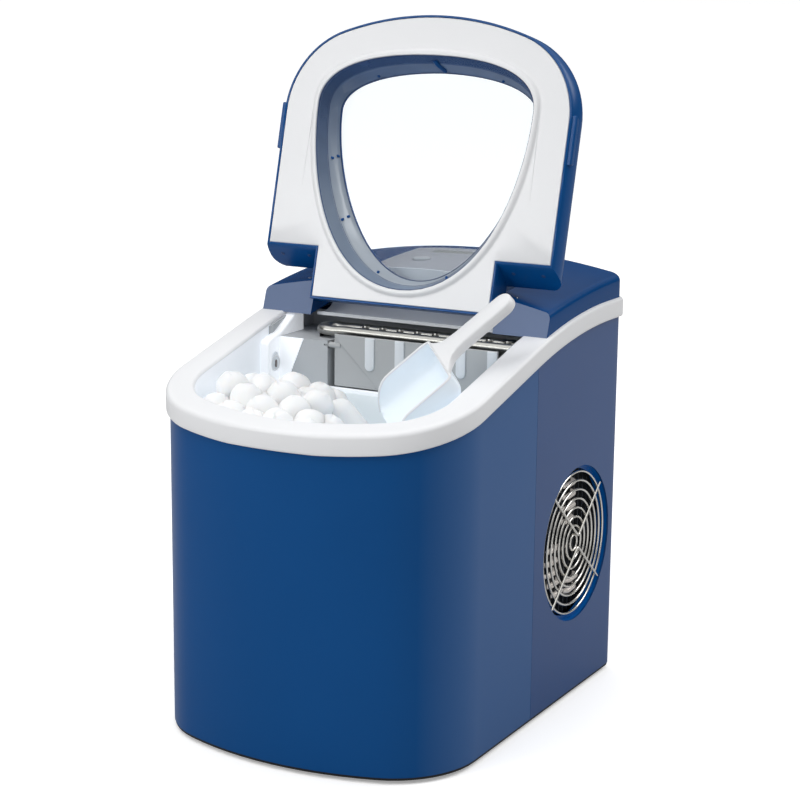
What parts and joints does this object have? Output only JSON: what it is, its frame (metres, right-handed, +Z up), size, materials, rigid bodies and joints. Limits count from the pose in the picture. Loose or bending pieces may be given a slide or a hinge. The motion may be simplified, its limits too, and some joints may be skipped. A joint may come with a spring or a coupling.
{
  "type": "ice maker",
  "caption": "Countertop ice maker with a bowed front, open basin with basket and scoop, rear-hinged window lid and a round fan guard on the right side.",
  "frame": {"origin": "on the table, under the middle of the footprint", "axes": "+Z up, +Y to the rear (control cover), +X to the user's right (fan guard side)"},
  "size_m": [0.2492, 0.323, 0.5151],
  "materials": {
    "painted_steel": "satin metallic blue enamel",
    "blue_plastic": "glossy blue",
    "lid_blue": "satin blue",
    "white_plastic": "glossy white",
    "liner_plastic": "satin white",
    "clear_plastic": "clear",
    "panel_grey": "satin grey",
    "smoked_lens": "glossy",
    "button_grey": "satin grey",
    "board_green": "matt",
    "black_plastic": "matt black",
    "rubber": "matt",
    "basket_plastic": "translucent white",
    "ice": "frosted",
    "scoop_plastic": "translucent, pale",
    "steel": "brushed",
    "plated_wire": "bright plated",
    "fins": "plain",
    "copper": "plain copper",
    "black_enamel": "gloss black",
    "foam": "matt",
    "hose": "translucent"
  },
  "bodies": {
    "cabinet": {"base_pan": "black_plastic", "rubber_feet": "rubber", "front_wrap": "painted_steel", "right_panel": "painted_steel", "left_panel": "painted_steel", "rear_panel": "painted_steel", "top_trim": "white_plastic", "top_cover": "blue_plastic", "evaporator_cover": "white_plastic", "hinge_pins": "steel", "control_panel": "panel_grey", "display_lens": "smoked_lens", "indicator_lenses": "smoked_lens", "control_board": "board_green", "inner_tank": "liner_plastic", "tank_foam": "foam", "sensor_windows": "smoked_lens", "level_probe": "steel", "evaporator": "steel", "tray_motor": "black_plastic", "water_pump": "black_plastic", "water_hose": "hose", "compressor": "black_enamel", "compressor_mounts": "rubber", "condenser": "fins", "fan_motor": "black_plastic", "fan_shroud": "black_plastic", "fan_guard": "plated_wire", "filter_drier": "copper", "hot_gas_valve": "black_plastic", "refrigerant_lines": "copper", "power_board": "board_green", "board_standoffs": "white_plastic", "cable_gland": "black_plastic", "panel_screws": "steel"},
    "lid": {"lid_shell": "lid_blue", "lid_inner_panel": "white_plastic", "lid_window": "clear_plastic", "window_pegs": "lid_blue"},
    "basket": {"ice_basket": "basket_plastic", "ice_heap": "ice"},
    "scoop": {"scoop": "scoop_plastic"},
    "water_tray": {"water_tray": "liner_plastic"},
    "ice_shovel": {"ice_shovel": "liner_plastic"},
    "fan": {"fan_rotor": "black_plastic"},
    "power_button": {"power_button": "button_grey"},
    "select_button": {"select_button": "button_grey"},
    "drain_plug": {"drain_plug": "rubber"}
  },
  "joints": [
    {"name": "lid_hinge", "type": "hinge", "parent": "cabinet", "child": "lid", "pos_m": [0, 0.0374, 0.31364], "axis": [-1, 0, 0], "range_deg": [-118.9, 0]},
    {"name": "basket_lift", "type": "slide", "parent": "cabinet", "child": "basket", "axis": [0, 0, 1], "range_m": [0, 0.12]},
    {"name": "scoop_stow", "type": "slide", "parent": "basket", "child": "scoop", "axis": [0.4472, 0, 0.8944], "range_m": [-0.0675, 0]},
    {"name": "water_tray_tilt", "type": "hinge", "parent": "cabinet", "child": "water_tray", "pos_m": [0, 0.03, 0.2575], "axis": [-1, 0, 0], "range_deg": [-70, 0]},
    {"name": "ice_shovel_swing", "type": "hinge", "parent": "cabinet", "child": "ice_shovel", "pos_m": [0, 0.003, 0.2715], "axis": [1, 0, 0], "range_deg": [-35, 0]},
    {"name": "fan_spin", "type": "hinge", "parent": "cabinet", "child": "fan", "pos_m": [0.072, 0.0843, 0.1217], "axis": [1, 0, 0], "continuous": true},
    {"name": "power_press", "type": "slide", "parent": "cabinet", "child": "power_button", "axis": [0, 0, -1], "range_m": [0, 0.0012], "stiffness_N_per_m": 800},
    {"name": "select_press", "type": "slide", "parent": "cabinet", "child": "select_button", "axis": [0, 0, -1], "range_m": [0, 0.0012], "stiffness_N_per_m": 800},
    {"name": "drain_turn", "type": "hinge", "parent": "cabinet", "child": "drain_plug", "pos_m": [-0.055, -0.0975, 0], "axis": [0, 0, 1], "range_deg": [0, 90]}
  ],
  "couplings": [
    {"joint": "scoop_stow", "follows": "lid_hinge", "m_per_rad": 0.0323},
    {"joint": "ice_shovel_swing", "follows": "water_tray_tilt", "ratio": 0.5}
  ]
}
